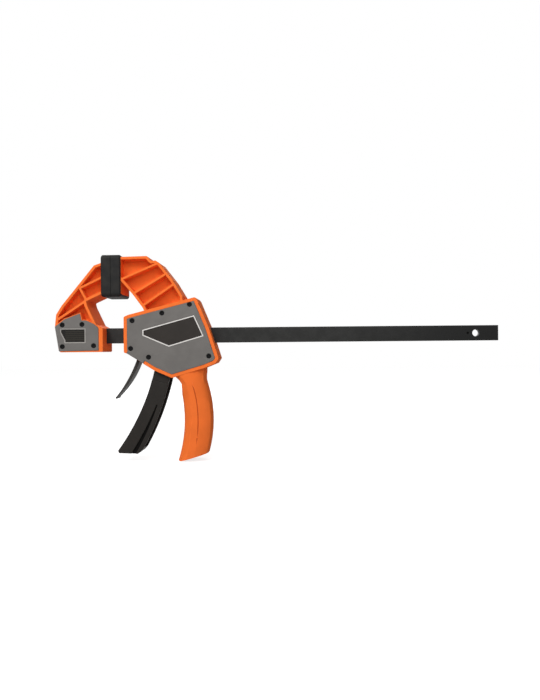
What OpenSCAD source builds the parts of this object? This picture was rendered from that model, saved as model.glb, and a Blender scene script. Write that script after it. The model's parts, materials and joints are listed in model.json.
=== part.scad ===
// Quick release bar clamp with a one-hand trigger, jaws closed.
// X runs along the bar from the fixed jaw to the bar's tail, Z points up to the pads,
// Y is the depth. The origin is the centre of the hanging hole in the bar's tail.

/* [Bar] */
// Height of the bar's section
bar_h = 19; // [18:0.5:20]
// Thickness of the bar
bar_t = 6; // [5:0.5:7]
// Widest opening between the two pads
opening = 300; // [150:10:900]
// Length of bar left behind the housing at the widest opening
tail = 46.5; // [44:0.5:80]
// Diameter of the hanging hole
hang_d = 8.5; // [6:0.5:10]
// Distance from the bar's end to the centre of the hanging hole
hang_inset = 28; // [14:1:30]
// Length of bar held inside the fixed jaw
bar_seat = 52; // [46:1:54]

/* [Jaws] */
// Depth of the jaw and housing mouldings
jaw_w = 38; // [36:1:42]
// Height of the pads' tops above the bar
reach = 89; // [86:1:110]
// Distance from the pads' meeting plane to the fixed jaw's back
jaw_back = 68.5; // [68:0.5:74]
// Distance from the pads' meeting plane to the face that the bar leaves
jaw_face = 10.5; // [9:0.5:12]
// Thickness of the outer rims of the ribbed frames
rim_t = 3.2; // [2.4:0.2:4]
// Thickness of the ribs
rib_t = 2.6; // [2:0.2:3.4]
// Thickness of the web in the middle of the ribbed frames
web_t = 12; // [8:1:16]

/* [Pads] */
// Thickness of each pad along the bar
pad_l = 12; // [11:0.5:14]
// Width of the pads
pad_w = 42; // [42:1:48]
// Height of the pads
pad_h = 51.5; // [46:0.5:54]
// Thickness of the pads' gripping wall
pad_face = 5; // [4:0.5:6]
// Radius of the pads' rounded edges
pad_round = 5; // [3:0.5:6]

/* [Housing] */
// Distance from the pads' meeting plane to the housing's front
housing_front = 15; // [14:0.5:18]
// Length of the housing along the bar
housing_l = 115.5; // [114:0.5:122]
// Width of the orange rim round the grey cover
cover_rim = 4.2; // [3.6:0.2:5]
// Thickness of the covers
cover_t = 3; // [2.6:0.2:3.4]
// Height that the covers stand proud of the rim
cover_proud = 0.6; // [0:0.1:1]
// Thickness of the dark label and badge plates
plate_t = 1; // [0.6:0.1:1.2]
// Width of the raised borders of the label and badge plates
border_w = 1.3; // [0.8:0.1:1.6]

/* [Grip] */
// Width of the grip
grip_w = 33; // [31:1:36]
// Depth below the bar of the grip's lowest point
grip_drop = 145.5; // [138:0.5:150]
// Share of the grip's fore-aft size that the facet at its front takes
grip_facet = 0.3; // [0.2:0.02:0.4]
// Share of the grip's fore-aft size that the rounded facets at its back take
grip_round = 0.46; // [0.36:0.02:0.5]
// Depth of the crease between the grip's flat sides and its rounded back
crease_t = 0.6; // [0.3:0.1:0.9]

/* [Trigger] */
// Width of the trigger
trigger_w = 26; // [24:1:27]
// Wall thickness of the trigger's channel
trigger_wall = 3; // [2.8:0.2:4]
// Depth of the grooves along the trigger's sides
trigger_cut = 2; // [0.6:0.1:2]
// Distance from the housing's front to the trigger's pivot
pivot_in = 52; // [51:0.5:53]
// Height of the trigger's pivot above the bar
pivot_up = 7.5; // [7:0.5:8]
// Diameter of the pivot pin
pin_d = 6; // [5:0.5:7]
// Angle that the trigger swings through
trigger_swing = 12; // [8:1:13]

/* [Drive and brake] */
// Thickness of a drive plate
drive_plate_t = 2.5; // [2:0.1:3]
// Thickness of the brake plate
brake_plate_t = 4; // [3:0.2:4.4]
// Width of the drive and brake plates
plate_w = 24; // [22:1:25]
// Angle of the brake plate while it holds the bar
brake_tilt = 8; // [6:0.5:9]
// Angle that the release lever swings through
brake_swing = 7.5; // [5:0.5:7.5]
// Width of the release lever
release_w = 18; // [15:0.5:20]
// Thickness of the release lever
release_t = 4; // [3:0.2:4.2]
// Wire thickness of the drive spring
drive_wire = 2.2; // [1.6:0.1:2.6]
// Wire thickness of the brake spring
brake_wire = 1; // [0.8:0.1:1.2]

/* [Fasteners] */
// Diameter of a screw's head
head_d = 5.6; // [5:0.2:6]
// Height of a screw's head
head_h = 1.5; // [1.2:0.1:1.6]
// Diameter of a screw's shank
shank_d = 2.8; // [2.4:0.2:3.2]
// Length of a screw under its head
shank_l = 8; // [6:1:9]
// Diameter of the pin that holds the bar in the fixed jaw
jaw_pin_d = 6; // [5:0.5:7]

/* [Clearances] */
// Gap round the bar where it slides
bar_gap = 0.25; // [0.2:0.05:0.4]
// Radial gap of a pin that turns in its bore
turn_gap = 0.05; // [0.03:0.01:0.08]
// Gap round a piece that is seated in another
seat_gap = 0.1; // [0.05:0.05:0.2]
// Gap between pieces that move past each other
swing_gap = 0.75; // [0.6:0.05:1]

/* [Hidden] */
$fn = 32;

// Heights of the bar's edges, of the pads and of the frames' tips.
bar_top = bar_h / 2;
bar_foot = -bar_h / 2;
pads_top = bar_top + reach;
pads_foot = pads_top - pad_h;
tip_top = pads_top - 3.5;
tip_foot = pads_foot + 3.5;
tenon_w = jaw_w - 3;

// Places along the bar, measured from the pads' meeting plane.
housing_back = housing_front + housing_l;
bar_end = housing_back + opening + tail;
hang_x = bar_end - hang_inset;
bar_start = -jaw_face - bar_seat;
jaw_pin_at = [bar_start + 14, 0];

// The housing's mechanism.
pivot = [housing_front + pivot_in, bar_top + pivot_up];
eye_r = pin_d / 2 + 2.2;
neck_step = 1;
neck_foot = [pivot[0] - 16, bar_foot - 45.5];
nub_drop = 29;
nub_r = 9;
nub_rest = [pivot[0] - nub_drop * sin(trigger_swing / 2),
    pivot[1] - nub_drop * cos(trigger_swing / 2)];
plates_x = nub_rest[0] + nub_r + seat_gap;
drive_plates = 3;
pack_l = drive_plates * drive_plate_t;
drive_half = 15;
plate_gap = 0.02;
window_gap = 0.3;
cavity_back = housing_back - 23;
spring_l = cavity_back - plates_x - pack_l - seat_gap;
brake_axis = [housing_front + 26.8, bar_top + 8];
lap_l = 13;
tongue_w = release_w - 1;
tongue_drop = brake_axis[1] - bar_foot + 4;
brake_len = tongue_drop + lap_l - 0.5;
brake_window_at = brake_axis[1] / cos(brake_tilt);
brake_foot = brake_axis[1] - tongue_drop - swing_gap;
bay_front = housing_front + 12.6;
bulkhead_x = housing_front + 34;
brake_coil_r = 3.4;
brake_spring_z = bar_foot - 7.5;
brake_back_x = brake_axis[0] - (brake_axis[1] - brake_spring_z) * tan(brake_tilt)
    + brake_plate_t / 2 / cos(brake_tilt);
rivet_r = 1.8;
rivet_drops = [-tongue_drop - lap_l * 0.65, -tongue_drop - lap_l * 0.12];
rivet_gap = 0.03;

// Depths of the covers' recess and of the space between the covers.
recess_y = jaw_w / 2 - (cover_t - cover_proud);
cover_y = jaw_w / 2 + cover_proud;
head_sink = head_h + 0.3;

// Outline of the fixed jaw, clockwise from the top of its tip, seen from the front.
heel = bar_foot - 10.5;
fixed_outline = [
    [-pad_face, pads_top - 7.5], [-pad_l - 8.5, pads_top - 13],
    [-jaw_back + 8.5, bar_top + 27.5], [-jaw_back + 1.5, bar_top + 16.5],
    [-jaw_back, bar_top + 2.5], [-jaw_back + 4.5, heel + 1.8], [-jaw_back + 6.5, heel],
    [-jaw_face, heel], [-jaw_face, bar_top - 0.2], [-jaw_face - 7.7, bar_top + 3.6],
    [-jaw_face - 18.5, bar_top + 26.5], [-jaw_face - 20, bar_top + 32.5],
    [-jaw_face - 7, bar_top + 38.5], [-pad_l, tip_foot], [-pad_face, tip_foot]];
fixed_knee = [-30, bar_top + 33.5];
fixed_elbow = [-38, bar_top + 48.5];
fixed_ribs = [
    [fixed_elbow, [-pad_face, bar_top + 64.5]], [fixed_elbow, fixed_knee],
    [fixed_knee, [-16, bar_top + 3]], [fixed_knee, [-pad_face, bar_top + 46]],
    [fixed_knee, [-jaw_back + 2, bar_top + 9.5]]];
// The grey cover over the block that holds the bar.
fixed_cover_outline = [
    [-jaw_back, bar_top + 1.5], [-jaw_back + 11.5, bar_top + 10.5],
    [-jaw_back + 30.5, bar_top + 17.5], [-36, bar_top + 9], [-30.5, bar_top + 9],
    [-21.5, bar_top + 4.8], [-jaw_face - 6.2, bar_top + 1], [-jaw_face - 5, bar_top - 1],
    [-jaw_face - 5, heel + 2],
    [-jaw_back + 4.8, heel + 1.2]];
fixed_screws = [[-jaw_back + 9, bar_top + 3.8], [-35.4, bar_top + 4.2],
    [-jaw_back + 9, bar_foot - 3.6], [-21.5, bar_foot - 2.8]];
badge_outline = [[-jaw_back + 6.5, bar_top - 0.5], [-31, bar_top - 0.5],
    [-31, bar_foot + 0.5], [-jaw_back + 11.5, bar_foot + 0.5],
    [-jaw_back + 11.5, bar_foot + 3.8], [-jaw_back + 6.5, bar_top - 5.5]];

// Outline of the housing, clockwise from its front top corner.
housing_outline = [
    [housing_front, bar_top + 13], [housing_front + 5.5, bar_top + 15.5],
    [housing_back - 28.5, bar_top + 36.5], [housing_back - 26, bar_top + 33.5],
    [housing_back - 12, bar_top - 0.5], [housing_back, bar_foot - 19.5],
    [housing_back - 4, bar_foot - 25.5], [housing_back - 17.5, bar_foot - 31],
    [housing_front + 58, bar_foot - 42.8], [housing_front + 36.3, bar_foot - 33.2],
    [housing_front + 22.4, bar_foot - 24.5], [housing_front + 3, bar_foot - 12.5],
    [housing_front, bar_foot - 11.5]];
main_screws = [[housing_front + 10.5, bar_top + 8.3], [housing_front + 46.8, bar_top + 17.3],
    [housing_back - 35, bar_top + 27.6], [housing_front + 8.5, bar_foot - 6.6],
    [housing_front + 30.3, bar_foot - 17.3], [housing_back - 12, bar_foot - 16.4]];
label_outline = [[housing_front + 23, bar_top - 3], [housing_back - 29.5, bar_top + 14.3],
    [housing_back - 18, bar_foot + 7.8], [housing_front + 55, bar_foot - 4.7],
    [housing_front + 23, bar_top - 10]];

// Outline of the ribbed arm, clockwise from the top of its tip.
arm_outline = [
    [pad_face, pads_top - 3], [44, pads_top - 2], [49, pads_top - 8],
    [54.5, pads_top - 7.5], [59, pads_top - 10.5], [75.5, bar_top + 57],
    [87, bar_top + 38], [87, bar_top + 20], [43, bar_top + 14], [38.5, bar_top + 24],
    [26, bar_top + 41], [pad_l, bar_top + 57], [pad_face, bar_top + 65]];
arm_ribs = [
    [[pad_face, bar_top + 55.5], [57, pads_top - 11]],
    [[26, bar_top + 40.5], [69.5, bar_top + 66.5]],
    [[37, bar_top + 25.5], [78, bar_top + 53.5]]];

// The levers' edges are arcs about these centres.
trigger_foot = bar_foot - 135;
trigger_front = [[pivot[0] - 282, pivot[1] + 3], 273];
trigger_back = [[pivot[0] - 318, pivot[1] + 3], 328.5];
release_foot = bar_foot - 67.5;
lap_z = brake_axis[1] - (brake_len + 1) * cos(brake_tilt);
release_front = [[housing_front - 130, bar_top + 11.5], 152];
release_back = [[housing_front - 92, bar_top - 3], 115.2];
grip_foot = bar_foot - grip_drop;
grip_front = [[housing_front - 95, bar_foot - 94.5], 166.3];
grip_back = [[housing_front - 45, bar_foot - 95.5], 151];

// Point at height z on the right-hand side of an arc given as [centre, radius].
function on_arc(arc, z) = [arc[0][0] + sqrt(arc[1] ^ 2 - (z - arc[0][1]) ^ 2), z];

// Points on an arc from height z0 to height z1.
function arc_points(arc, z0, z1, steps = 10) =
    [for (i = [0:steps]) on_arc(arc, z0 + (z1 - z0) * i / steps)];

// Runs smoothly from 0 at height a to 1 at height b and beyond.
function blend(z, a, b) = let (t = max(0, min(1, (z - a) / (b - a)))) t * t * (3 - 2 * t);

// Moves a piece drawn from the pads' meeting plane to the hanging hole's frame.
module placed() {
    translate([-hang_x, 0, 0]) children();
}

// Extrudes a side view over the depth from y0 to y1.
module between(y0, y1) {
    translate([0, y1, 0]) rotate([90, 0, 0]) linear_extrude(height = y1 - y0) children();
}

// Extrudes a side view to a width centred on the middle plane.
module slab(w) {
    between(-w / 2, w / 2) children();
}

// A cylinder along Y at a point of the side view.
module across(at, r, w) {
    translate([at[0], 0, at[1]]) rotate([90, 0, 0]) cylinder(r = r, h = w, center = true);
}

// A cylinder along Y from y0 to y1 at a point of the side view.
module across_from(at, r, y0, y1) {
    translate([at[0], y1, at[1]]) rotate([90, 0, 0]) cylinder(r = r, h = y1 - y0);
}

// Repeats what is drawn on the near side on the far side too.
module both_sides() {
    children();
    mirror([0, 1, 0]) children();
}

module far_side() {
    mirror([0, 1, 0]) children();
}

// Rounds the outer and the inner corners of a side view.
module rounded(r) {
    offset(r = -r) offset(r = 2 * r) offset(r = -r) children();
}

// A side view of a straight rib from a to b.
module rib(a, b, w) {
    run = b - a;
    translate(a) rotate(atan2(run[1], run[0])) translate([0, -w / 2]) square([norm(run), w]);
}

// A side view of the rim along the inside of an outline.
module rim(w) {
    difference() {
        children();
        offset(delta = -w) children();
    }
}

// Cuts a side view off at the back of the pad on the given side of the meeting plane.
module behind_pad(side) {
    room = 2 * reach;
    intersection() {
        children();
        translate([side > 0 ? pad_l : -pad_l - room, -room]) square([room, 2 * room]);
    }
}

// A frame that carries a pad: a full rim, ribs and a thinner web, with its pockets open
// towards the pad.
module ribbed(points, ribs, side) {
    corner = 1.5;
    slab(web_t) behind_pad(side) rounded(corner) polygon(points);
    slab(jaw_w) behind_pad(side) rim(rim_t) rounded(corner) polygon(points);
    slab(jaw_w) behind_pad(side) intersection() {
        rounded(corner) polygon(points);
        union() for (r = ribs) rib(r[0], r[1], rib_t);
    }
}

// The tongue that a pad is pressed on to, which closes the frame's pockets at its tip.
module tenon(side) {
    tongue_l = pad_l - pad_face - seat_gap;
    x0 = side > 0 ? pad_l - tongue_l : -pad_l;
    translate([x0, -tenon_w / 2, tip_foot]) cube([tongue_l, tenon_w, tip_top - tip_foot]);
}

// The bar's own space, with a gap all round.
module bar_space(x0, x1, gap) {
    translate([x0, -bar_t / 2 - gap, bar_foot - gap])
        cube([x1 - x0, bar_t + 2 * gap, bar_h + 2 * gap]);
}

// Pilot bores for a cover's screws, on the near side.
module pilot_bores(places) {
    for (p = places)
        across_from(p, shank_d / 2 + turn_gap, -cover_y, -cover_y + head_sink + shank_l + 1);
}

// Screws with cross recesses on the near side.
module screws(places) {
    head_y = -cover_y + head_sink - head_h;
    slot = [head_d * 0.62, head_h, 0.9];
    for (p = places) difference() {
        union() {
            across_from(p, head_d / 2, head_y, head_y + head_h);
            across_from(p, shank_d / 2, head_y + head_h - 0.1, head_y + head_h + shank_l);
        }
        for (turn = [45, -45])
            translate([p[0], head_y, p[1]]) rotate([0, turn, 0]) cube(slot, center = true);
    }
}

// The holes through a cover for its screws and their sunk heads.
module cover_holes(places) {
    for (p = places) {
        across_from(p, shank_d / 2 + 0.2, -cover_y - 1, -recess_y + 1);
        across_from(p, head_d / 2 + 0.25, -cover_y - 1, -cover_y + head_sink);
    }
}

// A coil spring along X from x0, swept with round wire.
module coil(x0, length, turns, coil_r, wire_d, centre_z) {
    per_turn = 16;
    sides = 8;
    rings = turns * per_turn;
    rise = (length - wire_d) / rings;
    points = [for (i = [0:rings], k = [0:sides - 1])
        let (a = i * 360 / per_turn, b = k * 360 / sides,
            r = coil_r + wire_d / 2 * cos(b))
        [x0 + wire_d / 2 + i * rise + wire_d / 2 * sin(b), r * sin(a),
            centre_z + r * cos(a)]];
    skin = [for (i = [0:rings - 1], k = [0:sides - 1])
        [i * sides + k, (i + 1) * sides + k, (i + 1) * sides + (k + 1) % sides,
            i * sides + (k + 1) % sides]];
    caps = [[for (k = [0:sides - 1]) k], [for (k = [sides - 1:-1:0]) rings * sides + k]];
    polyhedron(points, concat(skin, caps));
}

// The flat steel bar, drilled at both ends, with a punched stop mark near its tail.
module bar() color([0.17, 0.17, 0.17]) placed() {
    stop_mark = 10;
    difference() {
        bar_space(bar_start, bar_end, 0);
        across([hang_x, 0], hang_d / 2, bar_t + 2);
        across(jaw_pin_at, jaw_pin_d / 2 + turn_gap, bar_t + 2);
        across_from([hang_x - stop_mark, 0], 1.2, -bar_t / 2 - 1, -bar_t / 2 + 0.8);
    }
}

// Ribbed C-shaped moulding that is pinned to the bar's end.
module fixed_jaw_frame() color([0.88, 0.36, 0.17]) placed() difference() {
    union() {
        ribbed(fixed_outline, fixed_ribs, -1);
        slab(jaw_w) intersection() {
            rounded(1.5) polygon(fixed_outline);
            offset(delta = 1) polygon(fixed_cover_outline);
        }
        slab(jaw_w) intersection() {
            rounded(1.5) polygon(fixed_outline);
            translate([-jaw_face - 6, heel]) square([6, bar_h + 20]);
        }
        tenon(-1);
    }
    bar_space(bar_start - seat_gap, 0, seat_gap);
    across(jaw_pin_at, jaw_pin_d / 2 + turn_gap, jaw_w + 2);
    both_sides() {
        between(-jaw_w, -recess_y) fixed_recess();
        pilot_bores(fixed_screws);
    }
}

// Side view of the recess that a fixed jaw cover lies in.
module fixed_recess() {
    offset(delta = seat_gap) polygon(fixed_cover_outline);
}

// Grey cover over the fixed jaw's block.
module fixed_cover() difference() {
    between(-cover_y, -recess_y) polygon(fixed_cover_outline);
    cover_holes(fixed_screws);
    between(-cover_y - 1, -cover_y + plate_t) offset(delta = seat_gap) polygon(badge_outline);
}

// Dark inset plate with raised bars and a raised border.
module fixed_badge() {
    face_y = -cover_y + plate_t;
    between(face_y - plate_t * 0.6, face_y) polygon(badge_outline);
    between(face_y - plate_t, face_y) rim(border_w) polygon(badge_outline);
    for (z = [bar_foot + 4:2.5:bar_top - 3])
        between(face_y - plate_t * 0.9, face_y)
            translate([-jaw_back + 13, z]) square([jaw_back - 46, 1.1]);
}

module fixed_cover_near() color([0.48, 0.47, 0.46]) placed() fixed_cover();

module fixed_cover_far() color([0.48, 0.47, 0.46]) placed() far_side() fixed_cover();

module fixed_badge_near() color([0.22, 0.21, 0.2]) placed() fixed_badge();

module fixed_badge_far() color([0.22, 0.21, 0.2]) placed() far_side() fixed_badge();

module fixed_cover_screws() color([0.12, 0.12, 0.12]) placed() both_sides() screws(fixed_screws);

module fixed_jaw_pin() color([0.6, 0.6, 0.6]) placed() across(jaw_pin_at, jaw_pin_d / 2, 2 * recess_y);

// Soft cap pressed over a frame's tip, open at its back.
module pad() {
    pocket_l = pad_l - pad_face;
    difference() {
        intersection() {
            slab(pad_w) translate([-pad_l, pads_foot])
                rounded(pad_round - 2) square([2 * pad_l, pad_h]);
            translate([seat_gap / 2, 0, pads_foot + pad_h / 2]) rotate([90, 0, 90])
                linear_extrude(height = pad_l) rounded(pad_round)
                    square([pad_w, pad_h], center = true);
        }
        translate([pad_face, -tenon_w / 2 - seat_gap, tip_foot - seat_gap])
            cube([pocket_l + 1, tenon_w + 2 * seat_gap, tip_top - tip_foot + 2 * seat_gap]);
    }
}

module fixed_pad() color([0.16, 0.15, 0.13]) placed() mirror([1, 0, 0]) pad();

module moving_pad() color([0.16, 0.15, 0.13]) placed() pad();

// Side view of the trigger: a fork round the bar, an eye, a nub and the curved grip lever.
module trigger_side() {
    foot_front = on_arc(trigger_front, trigger_foot);
    foot_back = on_arc(trigger_back, trigger_foot);
    neck_z = bar_foot - 10;
    polygon(concat(
        arc_points(trigger_front, bar_foot - 32, trigger_foot + 3),
        [foot_front + [3.5, 0], foot_back + [-4, -1], foot_back + [-0.5, 1.2]],
        arc_points(trigger_back, trigger_foot + 5, bar_foot - 42),
        [[pivot[0] + 2.5, neck_z], [pivot[0] + 3, pivot[1]], [pivot[0] - eye_r, pivot[1]],
            [pivot[0] - 12, neck_z]]));
    translate(pivot) circle(r = eye_r);
    translate(nub_rest) circle(r = nub_r);
}

// Side view of all that the trigger sweeps, widened by a gap.
module trigger_sweep() {
    for (i = [0:3]) offset(delta = swing_gap) translate(pivot) rotate(trigger_swing * i / 3)
        translate(-pivot) trigger_side();
}

// Moulded trigger, open at its back, whose fork straddles the bar.
module trigger_lever() color([0.2, 0.19, 0.18]) placed() difference() {
    union() {
        slab(trigger_w - 2 * neck_step) rounded(1) trigger_side();
        slab(trigger_w) intersection() {
            rounded(1) trigger_side();
            translate(neck_foot) rotate(-15) translate([-100, -150]) square([150, 150]);
        }
    }
    slab(trigger_w - 2 * trigger_wall) intersection() {
        polygon(concat(
            arc_points([trigger_front[0], trigger_front[1] + trigger_wall], bar_foot - 34,
                trigger_foot + 6),
            arc_points([trigger_back[0], trigger_back[1] + 20], trigger_foot + 6,
                bar_foot - 30)));
        translate([-100, trigger_foot - 5]) square([300, bar_foot - 30 - trigger_foot]);
    }
    slab(bar_t + 2) translate([housing_front, bar_foot - 9]) square([pivot_in + 40, 60]);
    across(pivot, pin_d / 2 + turn_gap, trigger_w + 2);
    both_sides() between(-trigger_w, -trigger_w / 2 + trigger_cut) trigger_groove();
}

// Side view of the groove along the lower half of the trigger's sides, wider at its foot.
module trigger_groove() {
    steps = 8;
    top = bar_foot - 76;
    foot = trigger_foot - 3;
    back_edge = [for (i = [0:steps])
        on_arc(trigger_back, top + (foot - top) * i / steps) - [6, 0]];
    front_edge = [for (i = [steps:-1:0]) back_edge[i] - [1.2 + 4.4 * i / steps, 0]];
    polygon(concat(back_edge, front_edge));
}

module trigger_pin() color([0.62, 0.62, 0.62]) placed()
    across(pivot, pin_d / 2, 2 * recess_y - 2 * seat_gap);

// A hardened plate with a window for the bar; the pack is pushed along the bar.
module drive_plate(index) {
    x0 = plates_x + index * drive_plate_t;
    difference() {
        translate([x0, -plate_w / 2, -drive_half - 2])
            cube([drive_plate_t - plate_gap, plate_w, 2 * drive_half + 2]);
        bar_space(x0 - 1, x0 + drive_plate_t + 1, window_gap);
    }
}

module drive_plate_1() color([0.55, 0.55, 0.53]) placed() drive_plate(0);

module drive_plate_2() color([0.55, 0.55, 0.53]) placed() drive_plate(1);

module drive_plate_3() color([0.55, 0.55, 0.53]) placed() drive_plate(2);

// Coil round the bar between the last drive plate and the housing's back wall.
module drive_spring() color([0.7, 0.7, 0.68]) placed()
    coil(plates_x + pack_l + seat_gap / 2, spring_l - seat_gap / 2, 6, 12.4, drive_wire, 0);

// Small coil that keeps the brake plate tilted, seated on the housing's bulkhead.
module brake_spring() color([0.7, 0.7, 0.68]) placed()
    coil(brake_back_x + 0.9, bulkhead_x - brake_back_x - 1, 4, brake_coil_r, brake_wire,
        brake_spring_z);

// Side view of the brake plate, drawn hanging straight down from its rounded top edge.
module brake_side() {
    translate([-brake_plate_t / 2, -brake_len]) square([brake_plate_t, brake_len]);
    circle(r = brake_plate_t / 2);
}

// Puts what hangs straight down from the brake's axis at its holding tilt.
module brake_placed() {
    translate([brake_axis[0], 0, brake_axis[1]]) rotate([0, brake_tilt, 0]) children();
}

// Hardened plate that grips the bar while it is tilted.
module brake_plate() color([0.55, 0.55, 0.53]) placed() brake_placed() difference() {
    union() {
        slab(tongue_w) brake_side();
        slab(plate_w) intersection() {
            brake_side();
            translate([-brake_plate_t, -tongue_drop]) square([2 * brake_plate_t, 2 * tongue_drop]);
        }
    }
    translate([0, 0, -brake_window_at]) cube(
        [brake_plate_t + 2, bar_t + 2 * window_gap, bar_h + 3 * window_gap], center = true);
    for (drop = rivet_drops) translate([0, 0, drop]) rotate([0, 90, 0])
        cylinder(r = rivet_r + rivet_gap, h = brake_plate_t + 2, center = true);
}

// Curved finger lever riveted to the front of the brake plate's lower end.
module release_lever() color([0.36, 0.35, 0.34]) placed() difference() {
    union() {
        slab(release_w) polygon(concat(
            arc_points(release_front, lap_z, release_foot),
            [on_arc(release_front, release_foot) + [1.6, -1.2]],
            arc_points(release_back, release_foot + 1, lap_z)));
        brake_placed() translate([-brake_plate_t / 2 - release_t, -release_w / 2, -brake_len - 2])
            cube([release_t - plate_gap, release_w, lap_l + 2]);
    }
    brake_placed() for (drop = rivet_drops) translate([-brake_plate_t / 2, 0, drop])
        rotate([0, 90, 0]) cylinder(r = rivet_r + rivet_gap, h = 3 * release_t, center = true);
}

module release_rivets() color([0.6, 0.6, 0.6]) placed() brake_placed()
    for (drop = rivet_drops) translate([-brake_plate_t / 2 - release_t, 0, drop])
        rotate([0, 90, 0]) cylinder(r = rivet_r, h = release_t + brake_plate_t);

// Side view of what a piece of the brake sweeps as it swings, widened by a gap.
module brake_sweep() {
    for (i = [0:2]) offset(delta = swing_gap) translate(brake_axis)
        rotate(brake_swing * i / 2) translate(-brake_axis) children();
}

// Side view of the release lever with its lap on the brake plate.
module release_side() {
    translate(brake_axis) rotate(-brake_tilt)
        translate([-brake_plate_t / 2 - release_t, -brake_len - 2]) square([release_t, lap_l + 2]);
    polygon(concat(
        arc_points(release_front, lap_z, release_foot),
        arc_points(release_back, release_foot, lap_z)));
}

// Half of the grip's section at height z, as [x, depth] from its front to its back. Towards
// its root the grip flares fore and aft and widens to the housing.
function grip_half(z) =
    let (root = blend(z, bar_foot - 75, bar_foot - 40),
        x0 = on_arc(grip_front, z)[0] - 7 * blend(z, bar_foot - 54, bar_foot - 38) ^ 2,
        x1 = on_arc(grip_back, z)[0] + 8 * blend(z, bar_foot - 48, bar_foot - 26),
        l = x1 - x0, w = grip_w / 2 + (jaw_w - 1 - grip_w) / 2 * root,
        f = l * grip_facet, b = l * grip_round, seam = x1 - b,
        cut = crease_t * blend(z, grip_foot + 18, grip_foot + 34)
            * (1 - blend(z, bar_foot - 56, bar_foot - 44)))
    [[x0, w * 0.35], [x0 + f * 0.3, w * 0.72], [x0 + f, w], [seam - 1.2, w],
        [seam, w - cut], [seam + 0.3, w - cut * 0.1], [x1 - b * 0.45, w * 0.9],
        [x1 - b * 0.12, w * 0.66], [x1, w * 0.35]];

// Whole section of the grip at height z, as points of a level plane.
function grip_section(z) =
    let (half = grip_half(z), last = len(half) - 1)
    concat([for (p = half) [p[0], -p[1]]], [for (i = [last:-1:0]) half[i]]);

// Grip lofted through level sections, with a slanted foot.
module grip() {
    root_levels = [for (i = [0:10]) bar_foot - 26 - 5 * i];
    low = bar_foot - 88;
    levels = concat(root_levels, [for (i = [0:6]) low + (grip_foot - low) * i / 6]);
    sections = [for (z = levels) grip_section(z)];
    n = len(sections[0]);
    rows = len(levels);
    points = [for (i = [0:rows - 1], p = sections[i]) [p[0], p[1], levels[i]]];
    skin = [for (i = [0:rows - 2], k = [0:n - 1])
        [i * n + k, i * n + (k + 1) % n, (i + 1) * n + (k + 1) % n, (i + 1) * n + k]];
    caps = [[for (k = [n - 1:-1:0]) k], [for (k = [0:n - 1]) (rows - 1) * n + k]];
    difference() {
        polyhedron(points, concat(skin, caps));
        translate([on_arc(grip_front, grip_foot)[0] + 4, 0, grip_foot])
            rotate([0, -16, 0]) translate([-30, -grip_w, -30]) cube([100, 2 * grip_w, 30]);
    }
}

// Side view of the main cover: the housing's outline less its rim, and a lip that reaches
// past the rim to the front lower edge, to the given distance from it.
module main_cover_side(lip) {
    offset(delta = -cover_rim) polygon(housing_outline);
    intersection() {
        offset(delta = lip) polygon(housing_outline);
        polygon([[housing_front + 2.4, bar_foot - 14], [housing_front + 6, bar_foot - 7],
            [housing_front + 27, bar_foot - 20], [housing_front + 21.6, bar_foot - 27]]);
    }
}

// One moulding: the housing round the mechanism, the ribbed arm and the grip.
module housing() color([0.88, 0.36, 0.17]) placed() difference() {
    union() {
        slab(jaw_w) rounded(2) polygon(housing_outline);
        ribbed(arm_outline, arm_ribs, 1);
        tenon(1);
        grip();
    }
    bar_space(0, housing_back + 10, bar_gap);
    slab(2 * recess_y + 1) mechanism_space();
    translate([bay_front + 4, 0, brake_spring_z]) rotate([0, 90, 0])
        cylinder(r = brake_coil_r + brake_wire / 2 + 0.4, h = bulkhead_x - bay_front - 4);
    slab(trigger_w + 2 * swing_gap) trigger_sweep();
    slab(tongue_w + 2 * swing_gap) brake_sweep() translate(brake_axis) rotate(-brake_tilt)
        brake_side();
    slab(release_w + 2 * swing_gap) brake_sweep() release_side();
    both_sides() {
        between(-jaw_w, -recess_y) offset(delta = seat_gap) main_cover_side(1);
        pilot_bores(main_screws);
    }
}

// Side view of the bays inside the housing for the brake, the trigger's fork and the drive.
module mechanism_space() {
    bay_top = brake_axis[1];
    translate([bay_front, brake_foot]) square([bulkhead_x - bay_front, bay_top - brake_foot]);
    translate(brake_axis) circle(r = brake_plate_t / 2 + turn_gap);
    translate([pivot[0] - 15, bar_foot - 14]) square([20, pivot[1] - bar_foot + 14 + eye_r + 1]);
    translate([pivot[0] - 15, -drive_half - 3.5])
        square([cavity_back - pivot[0] + 15, 2 * drive_half + 5]);
}

// Grey cover that closes the housing and carries the end of the trigger's pin.
module main_cover() difference() {
    boss_y = neck_step - trigger_w / 2 - 0.3;
    union() {
        between(-cover_y, -recess_y) main_cover_side(-0.5);
        across_from(pivot, pin_d / 2 + 2, -recess_y - 0.5, boss_y);
    }
    across_from(pivot, pin_d / 2 + turn_gap, -recess_y, boss_y + 1);
    cover_holes(main_screws);
    between(-cover_y - 1, -cover_y + plate_t) offset(delta = seat_gap) polygon(label_outline);
}

// Bare dark plate with a raised light border.
module label_plate() {
    face_y = -cover_y + plate_t;
    between(face_y - plate_t * 0.7, face_y) polygon(label_outline);
    between(face_y - plate_t, face_y) rim(border_w) polygon(label_outline);
}

module main_cover_near() color([0.48, 0.47, 0.46]) placed() main_cover();

module main_cover_far() color([0.48, 0.47, 0.46]) placed() far_side() main_cover();

module label_plate_near() color([0.22, 0.21, 0.2]) placed() label_plate();

module label_plate_far() color([0.22, 0.21, 0.2]) placed() far_side() label_plate();

module main_cover_screws() color([0.12, 0.12, 0.12]) placed() both_sides() screws(main_screws);

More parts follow.
